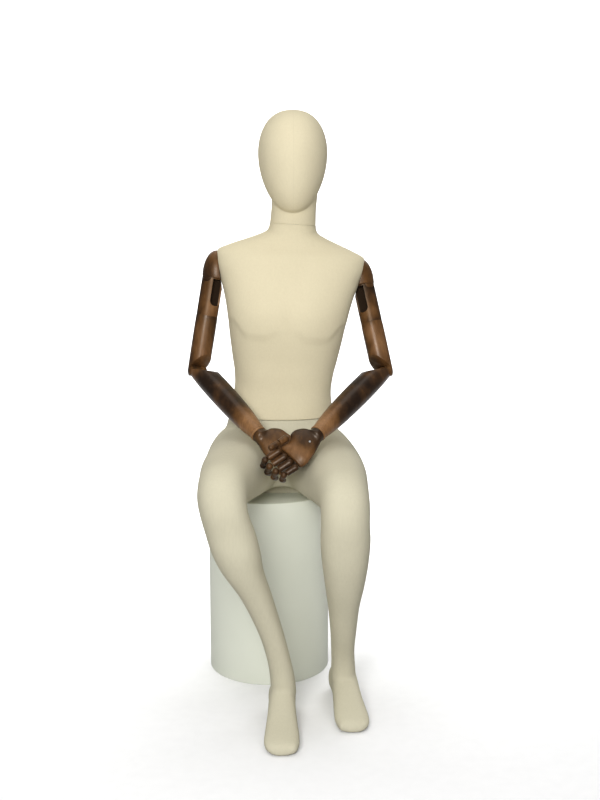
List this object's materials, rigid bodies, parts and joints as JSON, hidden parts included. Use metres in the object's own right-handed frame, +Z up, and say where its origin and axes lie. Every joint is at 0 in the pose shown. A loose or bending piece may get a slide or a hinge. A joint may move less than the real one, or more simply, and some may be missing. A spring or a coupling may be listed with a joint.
{
  "type": "full body mannequin",
  "caption": "Seated full-body display mannequin on a round plinth, egg head, fabric-covered body, jointed stained-wood arms with hands clasped in the lap.",
  "frame": {"origin": "centre of the plinth on the floor", "axes": "+Z up, the figure faces -Y, its own left is +X"},
  "size_m": [0.4806, 0.6422, 1.3272],
  "materials": {
    "linen": "warm cream woven linen bonded over a hard shell, matt, fine weave",
    "jersey": "greyer cream stretch jersey bonded over a hard shell, matt",
    "stained_wood": "dark walnut stain, mottled black and orange-brown, satin varnish",
    "steel": "satin turned steel",
    "plinth_paint": "matt off-white paint",
    "board": "bare fibreboard, matt"
  },
  "bodies": {
    "root": {"plinth_drum": "plinth_paint", "plinth_base": "board"},
    "lower_body": {"lower_body_shell": "jersey", "waist_plate_lower": "board", "waist_spigot": "steel"},
    "torso": {"torso_shell": "linen", "waist_plate_upper": "board", "neck_plate": "board", "neck_spigot": "steel"},
    "head_collar": {"head_collar": "board"},
    "head": {"head_shell": "linen"},
    "shoulder_right": {"shoulder_cap_right": "stained_wood", "shoulder_plate_right": "steel", "shoulder_right_pin": "steel"},
    "block_right": {"shoulder_block_right": "stained_wood"},
    "upper_arm_right": {"upper_arm_right": "stained_wood", "elbow_right_pin": "steel"},
    "forearm_right": {"forearm_right": "stained_wood", "wrist_disc_right": "stained_wood"},
    "hand_right": {"palm_right": "stained_wood", "hand_screw_right": "steel"},
    "thumb_right_1": {"thumb_right_1": "stained_wood"},
    "thumb_right_2": {"thumb_right_2": "stained_wood"},
    "index_right_1": {"index_right_1": "stained_wood"},
    "index_right_2": {"index_right_2": "stained_wood"},
    "index_right_3": {"index_right_3": "stained_wood"},
    "middle_right_1": {"middle_right_1": "stained_wood"},
    "middle_right_2": {"middle_right_2": "stained_wood"},
    "middle_right_3": {"middle_right_3": "stained_wood"},
    "ring_right_1": {"ring_right_1": "stained_wood"},
    "ring_right_2": {"ring_right_2": "stained_wood"},
    "ring_right_3": {"ring_right_3": "stained_wood"},
    "little_right_1": {"little_right_1": "stained_wood"},
    "little_right_2": {"little_right_2": "stained_wood"},
    "little_right_3": {"little_right_3": "stained_wood"},
    "shoulder_left": {"shoulder_cap_left": "stained_wood", "shoulder_plate_left": "steel", "shoulder_left_pin": "steel"},
    "block_left": {"shoulder_block_left": "stained_wood"},
    "upper_arm_left": {"upper_arm_left": "stained_wood", "elbow_left_pin": "steel"},
    "forearm_left": {"forearm_left": "stained_wood", "wrist_disc_left": "stained_wood"},
    "hand_left": {"palm_left": "stained_wood", "hand_screw_left": "steel"},
    "thumb_left_1": {"thumb_left_1": "stained_wood"},
    "thumb_left_2": {"thumb_left_2": "stained_wood"},
    "index_left_1": {"index_left_1": "stained_wood"},
    "index_left_2": {"index_left_2": "stained_wood"},
    "index_left_3": {"index_left_3": "stained_wood"},
    "middle_left_1": {"middle_left_1": "stained_wood"},
    "middle_left_2": {"middle_left_2": "stained_wood"},
    "middle_left_3": {"middle_left_3": "stained_wood"},
    "ring_left_1": {"ring_left_1": "stained_wood"},
    "ring_left_2": {"ring_left_2": "stained_wood"},
    "ring_left_3": {"ring_left_3": "stained_wood"},
    "little_left_1": {"little_left_1": "stained_wood"},
    "little_left_2": {"little_left_2": "stained_wood"},
    "little_left_3": {"little_left_3": "stained_wood"}
  },
  "joints": [
    {"name": "figure_lift", "type": "slide", "parent": "root", "child": "lower_body", "axis": [0, 0, 1], "range_m": [0, 0.2]},
    {"name": "torso_lift", "type": "slide", "parent": "lower_body", "child": "torso", "axis": [0.0628, 0, 0.998], "range_m": [0, 0.1]},
    {"name": "head_lift", "type": "slide", "parent": "torso", "child": "head_collar", "axis": [0.0628, 0, 0.998], "range_m": [0, 0.07]},
    {"name": "head_turn", "type": "hinge", "parent": "head_collar", "child": "head", "pos_m": [0.05901, -0.001, 1.07212], "axis": [0.0628, 0, 0.998], "range_deg": [-75, 75]},
    {"name": "arm_swing_right", "type": "hinge", "parent": "torso", "child": "shoulder_right", "pos_m": [-0.1122, 0.004, 0.97067], "axis": [-0.9938, 0, -0.1115], "range_deg": [0, 1]},
    {"name": "arm_spread_right", "type": "hinge", "parent": "shoulder_right", "child": "block_right", "pos_m": [-0.1415, 0, 0.95], "axis": [-0.0167, 0.9933, -0.1145], "range_deg": [0, 1.5]},
    {"name": "arm_twist_right", "type": "hinge", "parent": "block_right", "child": "upper_arm_right", "pos_m": [-0.1425, -0.01018, 0.86194], "axis": [-0.1634, -0.1157, -0.9798], "range_deg": [0, 1.5]},
    {"name": "elbow_bend_right", "type": "hinge", "parent": "upper_arm_right", "child": "forearm_right", "pos_m": [-0.1715, -0.018, 0.732], "axis": [-0.7024, -0.6837, 0.1979], "range_deg": [-0.5, 1.5]},
    {"name": "wrist_twist_right", "type": "hinge", "parent": "forearm_right", "child": "hand_right", "pos_m": [-0.0205, -0.207, 0.615], "axis": [0.5444, -0.6952, -0.4694], "range_deg": [-20, 7.5]},
    {"name": "thumb_right_bend_1", "type": "hinge", "parent": "hand_right", "child": "thumb_right_1", "pos_m": [0.03134, -0.18713, 0.60182], "axis": [-0.0847, 0.816, -0.5718], "range_deg": [-20, 9.14]},
    {"name": "thumb_right_bend_2", "type": "hinge", "parent": "thumb_right_1", "child": "thumb_right_2", "pos_m": [0.05554, -0.19077, 0.59305], "axis": [-0.0847, 0.816, -0.5718], "range_deg": [-25, 13.05]},
    {"name": "index_right_bend_1", "type": "hinge", "parent": "hand_right", "child": "index_right_1", "pos_m": [0.06743, -0.22797, 0.58705], "axis": [0.6157, 0.4728, 0.6304], "range_deg": [0, 6.53]},
    {"name": "index_right_bend_2", "type": "hinge", "parent": "index_right_1", "child": "index_right_2", "pos_m": [0.07208, -0.20336, 0.56405], "axis": [0.6157, 0.4728, 0.6304], "range_deg": [0, 23.49]},
    {"name": "index_right_bend_3", "type": "hinge", "parent": "index_right_2", "child": "index_right_3", "pos_m": [0.06302, -0.18318, 0.55776], "axis": [0.6157, 0.4728, 0.6304], "range_deg": [-25, 45]},
    {"name": "middle_right_bend_1", "type": "hinge", "parent": "hand_right", "child": "middle_right_1", "pos_m": [0.05661, -0.23637, 0.57584], "axis": [0.6157, 0.4728, 0.6304], "range_deg": [-5, 12.5]},
    {"name": "middle_right_bend_2", "type": "hinge", "parent": "middle_right_1", "child": "middle_right_2", "pos_m": [0.06167, -0.20959, 0.55081], "axis": [0.6157, 0.4728, 0.6304], "range_deg": [-17.5, 45]},
    {"name": "middle_right_bend_3", "type": "hinge", "parent": "middle_right_2", "child": "middle_right_3", "pos_m": [0.05182, -0.18765, 0.54398], "axis": [0.6157, 0.4728, 0.6304], "range_deg": [-45, 45]},
    {"name": "ring_right_bend_1", "type": "hinge", "parent": "hand_right", "child": "ring_right_1", "pos_m": [0.04563, -0.2447, 0.56473], "axis": [0.6157, 0.4728, 0.6304], "range_deg": [-27.5, 12.5]},
    {"name": "ring_right_bend_2", "type": "hinge", "parent": "ring_right_1", "child": "ring_right_2", "pos_m": [0.05042, -0.21937, 0.54106], "axis": [0.6157, 0.4728, 0.6304], "range_deg": [-50, 45]},
    {"name": "ring_right_bend_3", "type": "hinge", "parent": "ring_right_2", "child": "ring_right_3", "pos_m": [0.04097, -0.19831, 0.5345], "axis": [0.6157, 0.4728, 0.6304], "range_deg": [-45, 45]},
    {"name": "little_right_bend_1", "type": "hinge", "parent": "hand_right", "child": "little_right_1", "pos_m": [0.03462, -0.25248, 0.55436], "axis": [0.6157, 0.4728, 0.6304], "range_deg": [-40, 15]},
    {"name": "little_right_bend_2", "type": "hinge", "parent": "little_right_1", "child": "little_right_2", "pos_m": [0.03858, -0.23149, 0.53474], "axis": [0.6157, 0.4728, 0.6304], "range_deg": [-50, 45]},
    {"name": "little_right_bend_3", "type": "hinge", "parent": "little_right_2", "child": "little_right_3", "pos_m": [0.0311, -0.21482, 0.52955], "axis": [0.6157, 0.4728, 0.6304], "range_deg": [-45, 45]},
    {"name": "arm_swing_left", "type": "hinge", "parent": "torso", "child": "shoulder_left", "pos_m": [0.21615, 0.004, 0.95001], "axis": [0.972, 0, -0.2351], "range_deg": [-100, 0]},
    {"name": "arm_spread_left", "type": "hinge", "parent": "shoulder_left", "child": "block_left", "pos_m": [0.2385, 0, 0.931], "axis": [0.0493, 0.9623, -0.2676], "range_deg": [-1.5, 0]},
    {"name": "arm_twist_left", "type": "hinge", "parent": "block_left", "child": "upper_arm_left", "pos_m": [0.24261, -0.02394, 0.84572], "axis": [0.1977, -0.272, -0.9418], "range_deg": [-60, 0]},
    {"name": "elbow_bend_left", "type": "hinge", "parent": "upper_arm_left", "child": "forearm_left", "pos_m": [0.2745, -0.05, 0.732], "axis": [-0.6083, 0.7193, -0.3354], "range_deg": [-1.25, 35]},
    {"name": "wrist_twist_left", "type": "hinge", "parent": "forearm_left", "child": "hand_left", "pos_m": [0.1065, -0.243, 0.6228], "axis": [-0.584, -0.6919, -0.4246], "range_deg": [-80, 22.5]},
    {"name": "thumb_left_bend_1", "type": "hinge", "parent": "hand_left", "child": "thumb_left_1", "pos_m": [0.03682, -0.25357, 0.61538], "axis": [0.1833, -0.6836, 0.7065], "range_deg": [-20, 0]},
    {"name": "thumb_left_bend_2", "type": "hinge", "parent": "thumb_left_1", "child": "thumb_left_2", "pos_m": [0.01755, -0.26834, 0.60608], "axis": [0.1833, -0.6836, 0.7065], "range_deg": [-25, 10.62]},
    {"name": "index_left_bend_1", "type": "hinge", "parent": "hand_left", "child": "index_left_1", "pos_m": [0.02122, -0.26759, 0.59001], "axis": [0.5, -0.5196, -0.6928], "range_deg": [-7.5, 17]},
    {"name": "index_left_bend_2", "type": "hinge", "parent": "index_left_1", "child": "index_left_2", "pos_m": [-0.00735, -0.27091, 0.57188], "axis": [0.5, -0.5196, -0.6928], "range_deg": [-5, 15]},
    {"name": "index_left_bend_3", "type": "hinge", "parent": "index_left_2", "child": "index_left_3", "pos_m": [-0.01217, -0.25473, 0.55626], "axis": [0.5, -0.5196, -0.6928], "range_deg": [-15, 45]},
    {"name": "middle_left_bend_1", "type": "hinge", "parent": "hand_left", "child": "middle_left_1", "pos_m": [0.03299, -0.27553, 0.57943], "axis": [0.5, -0.5196, -0.6928], "range_deg": [-40, 25]},
    {"name": "middle_left_bend_2", "type": "hinge", "parent": "middle_left_1", "child": "middle_left_2", "pos_m": [0.0019, -0.27914, 0.5597], "axis": [0.5, -0.5196, -0.6928], "range_deg": [-22.5, 25]},
    {"name": "middle_left_bend_3", "type": "hinge", "parent": "middle_left_2", "child": "middle_left_3", "pos_m": [-0.00334, -0.26154, 0.54273], "axis": [0.5, -0.5196, -0.6928], "range_deg": [-45, 45]},
    {"name": "ring_left_bend_1", "type": "hinge", "parent": "hand_left", "child": "ring_left_1", "pos_m": [0.04491, -0.28338, 0.56896], "axis": [0.5, -0.5196, -0.6928], "range_deg": [-40, 20]},
    {"name": "ring_left_bend_2", "type": "hinge", "parent": "ring_left_1", "child": "ring_left_2", "pos_m": [0.0155, -0.28679, 0.5503], "axis": [0.5, -0.5196, -0.6928], "range_deg": [-50, 30]},
    {"name": "ring_left_bend_3", "type": "hinge", "parent": "ring_left_2", "child": "ring_left_3", "pos_m": [0.01047, -0.2699, 0.534], "axis": [0.5, -0.5196, -0.6928], "range_deg": [-45, 45]},
    {"name": "little_left_bend_1", "type": "hinge", "parent": "hand_left", "child": "little_left_1", "pos_m": [0.05681, -0.29068, 0.55923], "axis": [0.5, -0.5196, -0.6928], "range_deg": [-40, 30]},
    {"name": "little_left_bend_2", "type": "hinge", "parent": "little_left_1", "child": "little_left_2", "pos_m": [0.03244, -0.29351, 0.54377], "axis": [0.5, -0.5196, -0.6928], "range_deg": [-50, 35]},
    {"name": "little_left_bend_3", "type": "hinge", "parent": "little_left_2", "child": "little_left_3", "pos_m": [0.02846, -0.28014, 0.53087], "axis": [0.5, -0.5196, -0.6928], "range_deg": [-45, 45]}
  ]
}
